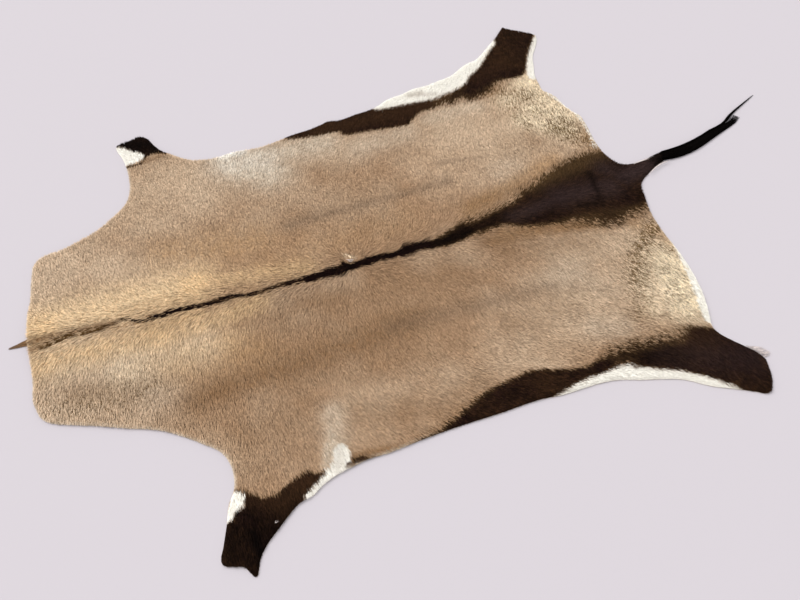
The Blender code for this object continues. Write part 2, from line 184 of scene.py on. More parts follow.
# Soft tints in the coat. Each stroke is (from along, from out, to along, to out, reach, strength).
TINT_STROKES = {
    "fawn": [
        (40, 230, 40, -180, 230, 1.00), (300, 420, 460, 380, 190, 0.90), (380, -440, 560, -460, 90, 0.35),
        (640, 420, 1000, 400, 90, 0.60), (450, 190, 950, 200, 90, 0.45), (600, -74, 800, -76, 40, 0.45),
        (1000, -70, 1120, -110, 50, 0.50), (640, -150, 680, -150, 50, 0.30),
        (1300, 330, 1520, 320, 210, 1.00), (1160, -400, 1500, -330, 130, 0.80),
        (1380, -190, 1600, -200, 90, 0.90), (700, -450, 1150, -430, 80, 0.45),
        (200, 190, 400, 130, 90, 1.00), (180, -140, 380, -150, 66, 1.00),
        (1220, -240, 1380, -250, 60, 0.60),
    ],
    "buff": [
        (0, 50, 420, 50, 62, 0.95), (420, 46, 700, 4, 32, 0.55), (0, -60, 300, -80, 50, 0.75),
        (280, -96, 560, -64, 34, 0.60), (300, -46, 400, -54, 36, 0.60), (210, -150, 460, -150, 50, 0.35),
    ],
    "ochre": [
        (370, 175, 600, 140, 66, 0.55), (290, -185, 520, -205, 58, 0.45), (816, -6, 825, -11, 5, 0.80),
        (1640, 200, 1650, 150, 10, 0.50), (1600, -160, 1640, -220, 26, 0.45),
        (1640, -220, 1655, -300, 14, 0.55), (600, 60, 1000, 70, 60, 0.30),
        (1190, 44, 1500, 145, 26, 0.60), (1250, -70, 1500, -130, 22, 0.45),
    ],
    "umber_and_crease_shade": [
        # The first two strokes lie along the trough on the left flank and paint the shade in it; the others
        # are browner hair.
        (345, -286, 560, -276, 40, 0.65), (560, -280, 900, -250, 66, 0.60),
        (690, -62, 1000, -64, 18, 0.20), (440, -420, 560, -400, 60, 0.30),
        (700, -450, 800, -480, 44, 0.40), (620, -110, 1060, -120, 90, 0.30),
        (1200, -78, 1310, -90, 36, 0.60), (1300, -80, 1470, -116, 30, 0.60),
        (1200, 56, 1380, 90, 24, 0.40), (1140, -350, 1280, -345, 50, 0.30),
        (375, 552, 424, 562, 12, 0.55), (1230, -130, 1450, -170, 44, 0.35),
        (1400, 240, 1480, 240, 50, 0.30), (700, -330, 900, -360, 50, 0.30),
        (700, 190, 950, 160, 90, 0.22), (860, -505, 1000, -470, 34, 0.35),
        (90, -170, 250, -215, 34, 0.40), (0, 14, 97, 6, 13, 0.90), (97, 6, 200, -2, 12, 0.95),
        (4, -12, 52, -4, 10, 0.80), (640, -548, 790, -570, 11, 0.85),
    ],
    "grey_and_crease_shade": [
        # The first, third and fourth strokes lie along troughs of the soft folds and paint the shade in those
        # creases.
        (690, 166, 1180, 168, 15, 0.45), (1175, 248, 1300, 226, 10, 0.35),
        (850, -252, 1290, -272, 26, 0.35), (1290, -272, 1440, -345, 26, 0.18),
    ],
    "pale": [
        (110, 50, 340, 56, 44, 0.15), (200, -140, 270, -240, 60, 0.35), (980, 390, 1130, 405, 50, 0.42),
        (-4, -250, 30, -270, 12, 0.70), (600, 460, 700, 380, 70, 0.95), (680, 450, 880, 450, 56, 0.75),
        (590, -548, 606, -505, 13, 0.80), (606, -540, 624, -480, 17, 0.85),
        (622, -510, 640, -430, 30, 0.60), (60, -100, 240, -130, 40, 0.20),
        (1330, -430, 1390, -450, 40, 0.35), (1330, -250, 1370, -260, 50, 0.36),
        (1330, 150, 1370, 160, 50, 0.32), (1220, 440, 1380, 445, 34, 0.40),
        (636, 470, 720, 462, 34, 0.85), (10, 180, 20, 270, 14, 0.30),
    ],
    "cream": [
        (1575, 480, 1620, 300, 56, 0.72), (1490, 430, 1590, 450, 44, 0.50),
        (1602, 366, 1530, 322, 32, 0.62), (90, 60, 330, 66, 56, 0.12), (210, -130, 400, -150, 50, 0.16),
        (1540, 370, 1596, 330, 40, 0.74), (1592, 512, 1584, 450, 14, 0.85),
        (1500, 330, 1600, 250, 40, 0.65), (1612, -316, 1585, -440, 72, 0.94),
        (1535, -320, 1500, -430, 40, 0.46), (1490, -430, 1550, -500, 36, 0.26),
    ],
    "white": [
        (588, 494, 650, 493, 14, 0.85), (604, 462, 700, 440, 46, 0.30),
    ],
    "grizzle": [
        (1460, 490, 1560, 430, 46, 0.80), (1500, 395, 1590, 330, 62, 0.60),
        (1480, 386, 1500, 290, 28, 0.70), (1600, 300, 1628, 258, 26, 0.85),
        (1516, 462, 1560, 430, 26, 0.60), (1570, 270, 1620, 205, 50, 1.00),
        (1640, -185, 1565, -240, 30, 1.00), (1565, -240, 1500, -335, 44, 0.82),
        (1500, -335, 1455, -430, 40, 0.62), (1600, -340, 1560, -480, 60, 0.42),
        (1600, -240, 1645, -290, 28, 0.60), (40, -200, 240, -215, 60, 0.45),
    ],
    "wiry": [
        (0, 250, 0, -260, 330, 1.00), (1640, 260, 1620, -450, 150, 1.00),
    ],
    "smear": [
        (1205, 562, 1245, 556, 12, 0.70), (612, -556, 640, -500, 18, 0.42),
        (1255, 545, 1285, 540, 10, 0.50),
    ],
    "moss": [
        (1400, 74, 1640, 116, 34, 0.58), (1480, -92, 1640, -112, 18, 0.30),
    ],
    "rust": [
        (880, 505, 1280, 495, 34, 0.55), (470, -600, 540, -570, 22, 0.60),
        (425, -560, 470, -610, 24, 0.60), (1490, -540, 1560, -560, 30, 0.35),
        (1430, 560, 1560, 620, 34, 0.35),
    ],
    "plum_sheen": [
        # Painted sheen: the purple-grey gloss on the dark hair of the rump and the tail root.
        (1290, -20, 1450, 0, 24, 0.70), (1450, 0, 1600, -10, 40, 0.80), (1620, 60, 1650, 20, 36, 0.60),
        (1660, 10, 1760, 24, 34, 0.95), (1450, -560, 1640, -640, 50, 0.35),
    ],
    "soot": [
        # The second stroke here lies along a trough across the dark rump and paints the shade in that crease;
        # the others are blacker hair.
        (1350, -540, 1460, -560, 40, 0.45), (1574, 60, 1553, -42, 10, 0.65),
        (1040, -34, 1160, -30, 28, 0.85), (1160, -30, 1270, -14, 26, 0.40),
        (1490, -46, 1540, -56, 12, 0.50), (400, -640, 410, -760, 22, 1.00),
        (300, 650, 420, 610, 50, 0.90), (1780, 30, 1830, 45, 22, 0.80), (340, -640, 470, -660, 70, 0.65),
    ],
    "scar": [
        (812, 8, 832, -8, 6, 0.45),
    ],
}

# Soft ridges and troughs of the lying skin: (from along, from out, to along, to out, reach, height)
SOFT_FOLDS = [
    (0, 30, 700, 0, 26, 1.4),
    (0, -62, 620, -72, 22, 0.9),
    (-20, -12, 780, -33, 9, -1.2),
    (690, 166, 1180, 168, 16, -0.9),
    (850, -252, 1290, -272, 26, -0.9),
    (345, -286, 560, -280, 24, -0.9),
    (1320, 20, 1620, 40, 40, 1.0),
    (1579, 76, 1541, -70, 14, -1.0),
    (1480, 420, 1640, 250, 40, 0.8),
    (420, -600, 440, -740, 14, -1.0),
]

# Long hair, combed along bands: plan points (along, out) on one side and the other, root to tip
TAIL_BRUSH_BAND = [
    ((1796, 26), (1796, 55)), ((1850, 22), (1850, 54)), ((1900, 27), (1900, 60)),
    ((1950, 42), (1950, 71)), ((2000, 60), (2000, 87)), ((2050, 77), (2050, 95)),
    ((2095, 92), (2089, 110)), ((2124, 110), (2112, 129)),
]
TAIL_LOCK_BAND = [
    ((1756, 18), (1756, 44)), ((1778, 21), (1778, 49)), ((1800, 26), (1800, 54)),
    ((1832, 25), (1832, 53)), ((1866, 26), (1866, 54)),
]
TAIL_WISP_BAND = [
    ((1803, 47), (1803, 60)), ((1850, 48), (1850, 59)), ((1900, 54), (1900, 65)),
    ((1950, 66), (1950, 76)), ((2000, 82), (2000, 92)), ((2047, 93), (2044, 100)),
    ((2078, 108), (2075, 114)), ((2104, 128), (2100, 134)), ((2145, 147), (2143, 152)),
    ((2226, 184), (2225, 186)),
]
MANE_BAND = [
    ((6, 2), (6, 22)), ((-4.5, 4), (-4.5, 23)), ((-14, 6), (-14, 21)), ((-32, 7), (-32, 16)),
    ((-50, 9), (-49, 13)),
]
HOCK_BAND = [
    ((1642, -604), (1664, -648)), ((1651.5, -611), (1672, -650)), ((1665, -616), (1681, -649)),
    ((1680, -622), (1692, -643)),
]
TAIL_TOP_BAND = [
    ((1712, 45), (1712, 48)), ((1737, 47), (1737, 50)), ((1764, 48), (1764, 52)),
    ((1798, 54), (1798, 58)),
]
TAIL_UNDERSIDE_BAND = [
    ((1731, -9), (1727, -13)), ((1765, 12), (1763, 8)), ((1793, 22), (1793, 18)),
    ((1829, 25), (1829, 21)),
]
SCAR_LIP_BAND = [
    ((814, 16), (814, 10)), ((821, 9), (819, 2)), ((827, 0), (824, -7)), ((833, -7), (830, -11)),
]
SCAR_SKIN_BAND = [
    ((809, -4), (809, -12)), ((818, -9), (816, -17)), ((826, -11), (823, -19)),
    ((834, -12), (832, -19)),
]
SCAR_CREASE_BAND = [((823, 16), (822, 14)), ((829, 8), (828, 5)), ((836, 1), (835, -1))]
KNEE_FLECK_BAND = [((448, -638), (448, -633)), ((459, -637), (459, -632))]

# Where the lie of the hair turns, in plan millimetres
SHOULDER = 820.0
FRONT_OF_BELLY = 500.0
BACK_OF_BELLY = 1540.0
BELLY_FROM_SPINE = 280.0
TAIL_ROOT = 1640.0
PARTING_REACH = 55.0

# The coat's height over the floor, in metres, and the least thickness of the lying skin
COAT_TOP = 7.8 * MM
THINNEST_SKIN = 0.8 * MM

# In millimetres: how far the hair hangs past the cut edge, how wide the pale rim is there, how far out
# from the spine the crest's hair is longer, and the plan line of the withers, where that ends
FRINGE = 2.2
PALE_RIM = 4.0
CREST_REACH = 50.0
WITHERS = 700.0

# How far the edge of a marking is feathered, in millimetres: on the neck and shoulders, behind them,
# and along a line
FEATHER_FRONT, FEATHER_BACK, FEATHER_LINE = 3.5, 6.0, 2.5

# Uneven colour in the coat: (size in millimetres, detail). A single hair is about 0.1 mm wide, too fine
# to show, so the finest patterns are as coarse as the drawn tufts.
COAT_PATTERNS = {
    "patches": (142.9, 3.0),
    "clumps": (18.18, 2.0),
    "specks": (5.882, 1.0),
    "flecks": (3.333, 1.0),
    "strand": (2.381, 1.0),
    "strand_other": (3.846, 1.0),
}

# Tanner's nap on the flesh side: cloudy where it was shaved, and a short nap, which is really under
# 0.3 mm and drawn coarser to show
SUEDE_PATTERNS = ((111.1, 4.0), (1.429, 2.0))

# Small swirls in the lie of the coat, each about 45 mm across
SWIRLS_TO_THE_METRE = 22.0

# Bands of the coat, as shares of the skin's area from the neck to the rump
COAT_PARTS = [
    ("coat_neck", 0.0, 0.20),
    ("coat_shoulders", 0.20, 0.40),
    ("coat_back", 0.40, 0.60),
    ("coat_loins", 0.60, 0.80),
    ("coat_rump", 0.80, 1.0),
]

# The camera as it stood for the photo, in metres and degrees, and the plain studio
CAMERA_PLACE = (-0.599, -1.312, 1.607)
CAMERA_TILT = 36.29
CAMERA_TURN = -20.32
CAMERA_LENS = 35.1
SENSOR_WIDTH = 36.0
FLOOR_SIZE = 60.0
LIGHT_FROM = (-1.3, 1.5, 2.2)
LIGHT_SPREAD = 40.0
LIGHT_COLOUR = (1.0, 0.985, 0.96)
SKY_COLOUR = (1.0, 0.985, 0.97, 1.0)
SKY_STRENGTH = 0.88


def linear(code):
    """Turns an sRGB hex colour into Blender's linear red, green and blue."""
    parts = [int(code[i : i + 2], 16) / 255 for i in (1, 3, 5)]
    return tuple(p / 12.92 if p <= 0.04045 else ((p + 0.055) / 1.055) ** 2.4 for p in parts)


def colour_setting(name, description, code):
    """A colour that a user can change, given as an sRGB hex code."""
    return FloatVectorProperty(
        name=name, description=description, default=linear(code), size=3, min=0, max=1, subtype="COLOR",
    )


def length_setting(name, description, millimetres):
    """A length that a user can change, given in millimetres."""
    return FloatProperty(
        name=name, description=description, default=millimetres * MM, min=0, subtype="DISTANCE",
        unit="LENGTH",
    )


class HideSettings(bpy.types.PropertyGroup):
    tan: colour_setting("Tan", "Ground colour of the coat", "#B29274")
    fawn: colour_setting("Fawn", "Lighter parts of the coat", "#D3BA9F")
    buff: colour_setting("Buff", "Yellowish hair beside the crest", "#EDCDA0")
    ochre: colour_setting("Ochre", "Warm patches on the shoulders and rump", "#B8936A")
    # Umber is browner hair, and painted shade along the trough on the left flank
    umber_and_crease_shade: colour_setting("Umber", "Browner bands on the sides", "#8A6847")
    # Grey gives greyish streaks and the mane's tips, and painted shade along the troughs of the soft folds
    grey_and_crease_shade: colour_setting("Grey", "Greyish streaks", "#7C6856")
    pale: colour_setting("Pale", "Haze round the white markings", "#DCCDB9")
    cream: colour_setting("Cream", "Light ground of the grizzled rump", "#FCECCE")
    white: colour_setting("White", "White markings", "#F9F6EE")
    dark: colour_setting("Dark", "Brown-black markings", "#261614")
    brown: colour_setting("Dark brown", "Browner hairs in the dark markings", "#46301F")
    olive: colour_setting("Olive brown", "Longer brown hair at the edges of the dark markings", "#5A452C")
    # Plum is painted sheen, the purple-grey gloss on the dark hair of the rump
    plum_sheen: colour_setting("Plum", "Greyer middle of the dark rump", "#3E302F")
    soot: colour_setting("Soot", "Blackest parts of the dark markings", "#0C0706")
    scar: colour_setting("Scar", "Healed skin of the scar on the back", "#EBD8BE")
    smear: colour_setting("Smear", "Greyer smear in the white of the belly", "#C4B9AC")
    speck: colour_setting("Grizzled hair", "Dark hairs of the grizzled rump", "#735830")
    frost: colour_setting("Hock hair", "Greyish white hair at the hock", "#D9CFCD")
    suede: colour_setting("Flesh side", "Tanned underside of the skin", "#C9B79C")
    brush: colour_setting("Tail brush", "Black hair of the tail", "#060404")
    skin_spacing: length_setting("Skin mesh spacing", "Distance between the skin's points", 7.0)
    coat_depth: length_setting("Coat depth", "How deep the hair lies over the skin", 3.0)
    hair_length: length_setting("Hair length", "Length of the body hair", 16.0)
    hair_width: length_setting("Hair width", "Width of one drawn tuft of body hair", 1.7)
    hair_density: IntProperty(
        name="Tufts to the square metre", description="How closely the body hair stands",
        default=215000, min=1000,
    )
    brush_hairs: IntProperty(name="Brush hairs", description="Hairs in the tail brush", default=420, min=10)
    floor_colour: colour_setting("Floor", "Plain pale floor", "#C3BEC5")
    key_strength: FloatProperty(
        name="Key light", description="Strength of the large soft light", default=2.0, min=0,
    )


def settings():
    return bpy.context.scene.gemsbok_hide


def place(rows):
    """Turns plan points in millimetres into x and y of the frame in metres."""
    return (np.asarray(rows, float)[..., :2] - (CENTRE_ALONG, CENTRE_OUT)) * MM


def plan_of(points):
    """Turns frame points in metres into plan points in millimetres."""
    return np.asarray(points, float)[..., :2] / MM + (CENTRE_ALONG, CENTRE_OUT)


def seen_on_floor(points):
    """Where a line from the camera through the top of the coat meets the floor. The markings were
    measured there, so a marking is looked up for a point of the coat where it is seen."""
    eye, flat = np.array(CAMERA_PLACE), np.asarray(points, float)[..., :2]
    return flat + (flat - eye[:2]) * COAT_TOP / (eye[2] - COAT_TOP)


def under_sight(flat, height):
    """The other way round: the point at this height that is seen where the given floor point is."""
    eye = np.array(CAMERA_PLACE)
    return flat - (flat - eye[:2]) * height / eye[2]


def smooth_outline(rows, steps=4):
    """Draws one smooth closed line through the rows of an outline."""
    p1 = np.asarray(rows, float)
    p0, p2, p3 = np.roll(p1, 1, 0), np.roll(p1, -1, 0), np.roll(p1, -2, 0)
    parts = []
    for t in np.arange(steps) / steps:
        parts.append(
            0.5 * (2 * p1 + (p2 - p0) * t + (2 * p0 - 5 * p1 + 4 * p2 - p3) * t**2
                   + (3 * p1 - p0 - 3 * p2 + p3) * t**3)
        )
    return np.stack(parts, 1).reshape(-1, 2)


def in_parts(points, many):
    """Splits the points so that a table of points against edges stays small."""
    return np.array_split(points, max(1, len(points) * many // 2_000_000))


def depth_inside(points, outline):
    """How far each point lies inside a closed outline, negative outside."""
    start, end = outline, np.roll(outline, -1, 0)
    run = end - start
    found = []
    for part in in_parts(points, len(outline)):
        gap = part[:, None] - start
        share = np.clip((gap * run).sum(-1) / np.maximum((run * run).sum(-1), 1e-12), 0, 1)
        gap = gap - share[..., None] * run
        near = np.sqrt((gap * gap).sum(-1).min(1))
        x, y = part[:, 0, None], part[:, 1, None]
        rise = np.where(run[:, 1] == 0, 1e-12, run[:, 1])
        meets = start[:, 0] + (y - start[:, 1]) / rise * run[:, 0]
        crosses = ((start[:, 1] > y) != (end[:, 1] > y)) & (x < meets)
        found.append(np.where(crosses.sum(1) % 2 == 1, near, -near))
    return np.concatenate(found)


def depth_in_line(points, rows):
    """How far each point lies inside a line of changing width, negative outside it."""
    rows = np.asarray(rows, float)
    start, run, half = rows[:-1, :2], np.diff(rows[:, :2], axis=0), rows[:, 2]
    gap = points[:, None] - start
    share = np.clip((gap * run).sum(-1) / (run * run).sum(-1), 0, 1)
    width = half[:-1] + share * np.diff(half)
    return (width - np.linalg.norm(gap - share[..., None] * run, axis=-1)).max(1)


def stroke_share(points, start, end, reach):
    """1 on the line from start to end, fading to nothing over the reach."""
    start, run = np.asarray(start, float), np.subtract(end, start)
    gap = points - start
    share = np.clip((gap @ run) / max(run @ run, 1e-9), 0, 1)
    away = np.linalg.norm(gap - share[:, None] * run, axis=1)
    return np.exp(-((away / reach) ** 2))


def ramp(values, start, stretch):
    """0 up to the start, then rising to 1 over the stretch, which is negative where it runs backwards."""
    return np.clip((values - start) / stretch, 0.0, 1.0)


def select_only(*objects):
    if bpy.context.object and bpy.context.object.mode != "OBJECT":
        bpy.ops.object.mode_set(mode="OBJECT")
    bpy.ops.object.select_all(action="DESELECT")
    for one in objects:
        one.select_set(True)
    bpy.context.view_layer.objects.active = objects[0] if objects else None


def new_piece(name, vertices, faces):
    mesh = bpy.data.meshes.new(name)
    mesh.from_pydata(vertices, [], faces)
    mesh.update()
    piece = bpy.data.objects.new(name, mesh)
    bpy.context.scene.collection.objects.link(piece)
    return piece


def apply_all(piece):
    select_only(piece)
    for modifier in list(piece.modifiers):
        bpy.ops.object.modifier_apply(modifier=modifier.name)


def points_of(mesh):
    flat = np.empty(len(mesh.vertices) * 3, np.float32)
    mesh.vertices.foreach_get("co", flat)
    return flat.reshape(-1, 3).astype(float)


def write_number(mesh, name, values):
    layer = mesh.attributes.new(name, "FLOAT", "POINT")
    layer.data.foreach_set("value", np.asarray(values, np.float32))


def write_vector(mesh, name, values):
    layer = mesh.attributes.new(name, "FLOAT_VECTOR", "POINT")
    layer.data.foreach_set("vector", np.asarray(values, np.float32).ravel())


def lay_map_flat(mesh):
    """Gives the mesh a map seen straight from above, for the colours that are kept with it."""
    points = points_of(mesh)
    low, span = points[:, :2].min(0), np.ptp(points[:, :2], axis=0).max()
    corner = np.empty(len(mesh.loops), np.int32)
    mesh.loops.foreach_get("vertex_index", corner)
    spread = (points[corner, :2] - low) / span * 0.998 + 0.001
    mesh.uv_layers.new(name="OFBake").data.foreach_set("uv", spread.astype(np.float32).ravel())


def add_node(tree, kind, inputs=(), out=0, **values):
    """Adds a node, sets its values, and fills its inputs, by place or by name, with numbers, colours or
    other nodes' sockets. It gives back one of the node's own sockets."""
    node = tree.nodes.new(kind)
    for key, value in values.items():
        setattr(node, key, value)
    for key, value in inputs.items() if isinstance(inputs, dict) else enumerate(inputs):
        if isinstance(value, bpy.types.NodeSocket):
            tree.links.new(value, node.inputs[key])
        elif node.inputs[key].type == "RGBA":
            node.inputs[key].default_value = (*value[:3], 1.0)
        else:
            node.inputs[key].default_value = value
    return node.outputs[out] if node.outputs else None


def new_material(name):
    """An empty material, with add_node ready for its tree."""
    material = bpy.data.materials.new(name)
    material.use_nodes = True
    material.node_tree.nodes.clear()
    return material, partial(add_node, material.node_tree)


def coat_material(name, hairy):
    """Short, dense, lying antelope hair: matt, each hair a slightly different tan, with painted shade that
    darkens it towards its root.
    The coat changes colour hair by hair, so the edge of a marking is feathered and not drawn."""
    s = settings()
    material, put = new_material(name)
    stored = [*TINT_STROKES, "feather", "dark_depth", "white_depth"]
    if hairy:
        stored += ["strand", "strand_other", "reach"]
    coat = {key: put("ShaderNodeAttribute", out="Fac", attribute_name=key) for key in stored}
    where = put("ShaderNodeTexCoord", out="Object")
    for key, (size, detail) in COAT_PATTERNS.items():
        if key not in coat:
            coat[key] = put(NOISE, {"Vector": where, "Scale": 1 / (size * MM), "Detail": detail}, out="Fac")
    strand, other, clumps = coat["strand"], coat["strand_other"], coat["clumps"]

    # The tan ground with its soft tints
    lighter = put(RANGE, (coat["patches"], 0.35, 0.65, -0.22, 0.22))
    light = put(MATH, (coat["fawn"], lighter), operation="ADD", use_clamp=True)
    colour = put(MIX, {0: light, 6: s.tan, 7: s.fawn}, out=2, data_type="RGBA")
    uneven = put(RANGE, (clumps, 0.3, 0.7, 0.75, 1.2))
    # Grey and umber strokes along troughs of the soft folds paint the shade in those creases
    for tint in ("buff", "ochre", "umber_and_crease_shade", "grey_and_crease_shade", "pale", "cream", "white"):
        share = put(MATH, (coat[tint], uneven), operation="MULTIPLY", use_clamp=True)
        colour = put(MIX, {0: share, 6: colour, 7: getattr(s, tint)}, out=2, data_type="RGBA")

    # Grizzle: the more of it, the more single hairs are dark
    plain = put(RANGE, (coat["flecks"], 0.35, 0.65, 0.0, -0.35))
    plain = put(MATH, (other, -0.65, plain), operation="MULTIPLY_ADD")
    speckled = put(MATH, (coat["grizzle"], 0.62, plain), operation="MULTIPLY_ADD")
    speckled = put(RANGE, (speckled, -0.07, 0.07, 0.0, 0.88))

    # Depth in millimetres inside the markings, less or more for each hair as the edge is feathered
    drift = put(MATH, (clumps, strand), operation="ADD")
    drift = put(MATH, (drift, 1.0), operation="SUBTRACT")
    in_white, in_dark = (
        put(MATH, (drift, coat["feather"], coat[key]), operation="MULTIPLY_ADD")
        for key in ("white_depth", "dark_depth")
    )
    edge = put(MATH, (in_dark, coat["feather"]), operation="DIVIDE")
    white_share = put(RANGE, (in_white, -2.0, 2.0, 0.0, 1.0))
    white = put(MIX, {0: coat["smear"], 6: s.white, 7: s.smear}, out=2, data_type="RGBA")

    # The dark markings: brown-black with browner and blacker hairs, plum for painted sheen, olive brown along
    # their edge
    browner = put(MATH, (strand, 0.4, coat["patches"]), operation="MULTIPLY_ADD")
    dark = s.dark
    for share, shade in (
        (put(RANGE, (browner, 0.45, 0.95, 0.0, 1.0)), s.brown),
        (put(RANGE, (other, 0.0, 1.0, 0.5, 0.0)), s.soot),
        (put(RANGE, (clumps, 0.42, 0.60, 0.0, 0.45)), s.soot),
        (coat["moss"], s.olive),
        (coat["rust"], s.brown),
        # Plum paints the sheen on the dark hair
        (coat["plum_sheen"], s.plum_sheen),
        (coat["soot"], s.soot),
        (put(RANGE, (edge, 0.0, 1.0, 0.65, 0.0)), s.olive),
    ):
        dark = put(MIX, {0: share, 6: dark, 7: shade}, out=2, data_type="RGBA")
    for share, shade in (
        (speckled, s.speck),
        (white_share, white),
        (coat["scar"], s.scar),
        (put(RANGE, (edge, -1.1, 0.1, 0.0, 0.6)), s.umber_and_crease_shade),
        (put(RANGE, (in_dark, -2.0, 2.0, 0.0, 1.0)), dark),
    ):
        colour = put(MIX, {0: share, 6: colour, 7: shade}, out=2, data_type="RGBA")

    # Lighter and darker hairs, and calmer where the coat is white or sleek. Painted shade darkens each tuft
    # towards its root, and paints the skin seen between the tufts darker all over
    tone = put(RANGE, (coat["reach"], 0.0, 1.0, 0.66, 1.12)) if hairy else 0.82
    for pattern, *limits in (
        (other, 0.0, 1.0, 0.75, 1.30),
        (clumps, 0.3, 0.7, 0.93, 1.07),
        (strand, 0.90, 0.93, 1.0, 0.72),
        (coat["specks"], 0.35, 0.65, 0.93, 1.07),
    ):
        tone = put(MATH, (tone, put(RANGE, (pattern, *limits))), operation="MULTIPLY")
    calm = put(RANGE, (coat["wiry"], 0.0, 1.0, 0.12, 0.0))
    even = put(MATH, (white_share, 0.65), operation="MULTIPLY")
    even = put(MATH, (even, calm), operation="MAXIMUM")
    tone = put(MIX, {0: even, 2: tone, 3: 1.02}, data_type="FLOAT")
    colour = put(VECTOR, {0: colour, "Scale": tone}, operation="SCALE")

    surface = {"Base Color": colour, "Roughness": 0.75, "Specular IOR Level": 0.02, "IOR": 1.5}
    if not hairy:
        surface["Normal"] = put("ShaderNodeBump", {"Height": strand, "Strength": 0.5, "Distance": 1.0 * MM})
    put("ShaderNodeOutputMaterial", {"Surface": put("ShaderNodeBsdfPrincipled", surface)})
    return material


def suede_material():
    """Chrome-tanned flesh side: a pale, dry, short nap without gloss, uneven where it was shaved."""
    s = settings()
    material, put = new_material("suede_flesh_side")
    where = put("ShaderNodeTexCoord", out="Object")
    cloudy, nap = (
        put(NOISE, {"Vector": where, "Scale": 1 / (size * MM), "Detail": detail}, out="Fac")
        for size, detail in SUEDE_PATTERNS
    )
    shade = [0.78 * part for part in s.suede]
    colour = put(MIX, {0: cloudy, 6: s.suede, 7: shade}, out=2, data_type="RGBA")
    normal = put("ShaderNodeBump", {"Height": nap, "Strength": 0.4, "Distance": 0.5 * MM})
    shader = put(
        "ShaderNodeBsdfPrincipled",
        {
            "Base Color": colour, "Roughness": 0.9, "Specular IOR Level": 0.2, "IOR": 1.5,
            "Sheen Weight": 0.1, "Sheen Roughness": 0.5, "Normal": normal,
        },
    )
    put("ShaderNodeOutputMaterial", {"Surface": shader})
    return material


def long_hair_material(name, root, tip, gloss):
    """Long, coarse guard hair: smooth round hairs with a low gloss, each a little lighter or darker."""
    material, put = new_material(name)
    strand, reach = (put("ShaderNodeAttribute", out="Fac", attribute_name=key) for key in ("strand", "reach"))
    colour = put(MIX, {0: reach, 6: root, 7: tip}, out=2, data_type="RGBA")
    tone = put(RANGE, (strand, 0.0, 1.0, 0.6, 1.45))
    colour = put(VECTOR, {0: colour, "Scale": tone}, operation="SCALE")
    surface = {"Base Color": colour, "Roughness": gloss, "Specular IOR Level": 0.04, "IOR": 1.25}
    put("ShaderNodeOutputMaterial", {"Surface": put("ShaderNodeBsdfPrincipled", surface)})
    return material


def cut_edge(node):
    """The closed line of the cut edge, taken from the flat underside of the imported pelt."""
    work = bmesh.new()
    work.from_mesh(node.data)
    bmesh.ops.remove_doubles(work, verts=work.verts, dist=0.01 * MM)
    work.normal_update()
    under = {f for f in work.faces if f.normal.z < -0.99 and f.calc_center_median().z < 0.1 * MM}
    steps = {}
    for face in under:
        for loop in face.loops:
            if sum(f in under for f in loop.edge.link_faces) == 1:
                steps[loop.vert] = loop.link_loop_next.vert
    first = next(iter(steps))
    line, at = [first], steps[first]
    while at is not first:
        line.append(at)
        at = steps[at]
    edge = np.array([v.co.xy for v in line])[::-1]
    tree = BVHTree.FromBMesh(work)
    work.free()
    return edge, tree


def skin_points(edge, spacing):
    """Staggered points over the skin, a little random and clear of the cut edge."""
    low, high = edge.min(0), edge.max(0)
    rows = np.arange(low[1], high[1], spacing * 0.866)
    grid = []
    for number, y in enumerate(rows):
        x = np.arange(low[0] + (number % 2) * spacing / 2, high[0], spacing)
        grid.append(np.stack([x, np.full_like(x, y)], 1))
    grid = np.concatenate(grid)
    grid += np.random.default_rng(11).uniform(-0.12, 0.12, grid.shape) * spacing
    return grid[depth_inside(grid, edge) > 0.45 * spacing]


def triangles_inside(points, ring):
    """Triangles between the points, held inside the ring of the first points, facing up."""
    flat = [Vector(p) for p in points]
    joined = delaunay_2d_cdt(flat, [], [list(range(ring))], 1, 1e-7)
    return np.array([tuple(point) for point in joined[0]]), [list(face) for face in joined[2]]


def skin_height(points, tree):
    """Height of the skin under the coat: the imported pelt's own top, less the coat, with soft folds."""
    s = settings()
    top = np.empty(len(points))
    for i, (x, y) in enumerate(points):
        hit = tree.ray_cast(Vector((x, y, 0.1)), Vector((0, 0, -1)))[0]
        top[i] = hit.z if hit else 2.4 * MM
    height = np.maximum(top - s.coat_depth, 0.4 * top)
    plan = plan_of(points)
    for a0, o0, a1, o1, reach, rise in SOFT_FOLDS:
        height += rise * MM * stroke_share(plan, (a0, o0), (a1, o1), reach)
    return np.maximum(height, THINNEST_SKIN)


def from_spine(plan):
    """How far each plan point lies out from the spine, positive on the animal's right."""
    spine = np.asarray(SPINE, float)
    return plan[:, 1] - np.interp(plan[:, 0], spine[:, 0], spine[:, 1])


def hair_flow(plan):
    """The way the hair lies: forwards along the neck's crest, out over both sides, and back along the
    belly and the rump, more so on the left."""
    along, out = plan[:, 0], from_spine(plan)
    near = np.exp(-np.abs(out) / PARTING_REACH)
    rear = ramp(along, SHOULDER, 300.0) * np.where(out < 0, 0.42, 0.06)
    belly = ramp(np.abs(out), BELLY_FROM_SPINE, 140.0)
    belly *= ramp(along, FRONT_OF_BELLY, 300.0) * ramp(along, BACK_OF_BELLY, -150.0)
    front = np.clip((SHOULDER - along) / 60.0, -1.0, 1.0)
    neck = ramp(along, FRONT_OF_BELLY, -FRONT_OF_BELLY)
    tail = ramp(along, TAIL_ROOT, 60.0) * (np.abs(out) < 130)
    back = -1.5 * near * front + (1 - near) * (rear + 0.75 * belly - 0.22 * neck)
    side = np.tanh(out / 22.0) * (1.05 - near)
    back, side = back * (1 - tail) + 1.0 * tail, side * (1 - tail) + 0.12 * tail
    flow = np.stack([back, side, np.zeros(len(plan))], 1)
    return flow / np.maximum(np.linalg.norm(flow, axis=1, keepdims=True), 1e-6)


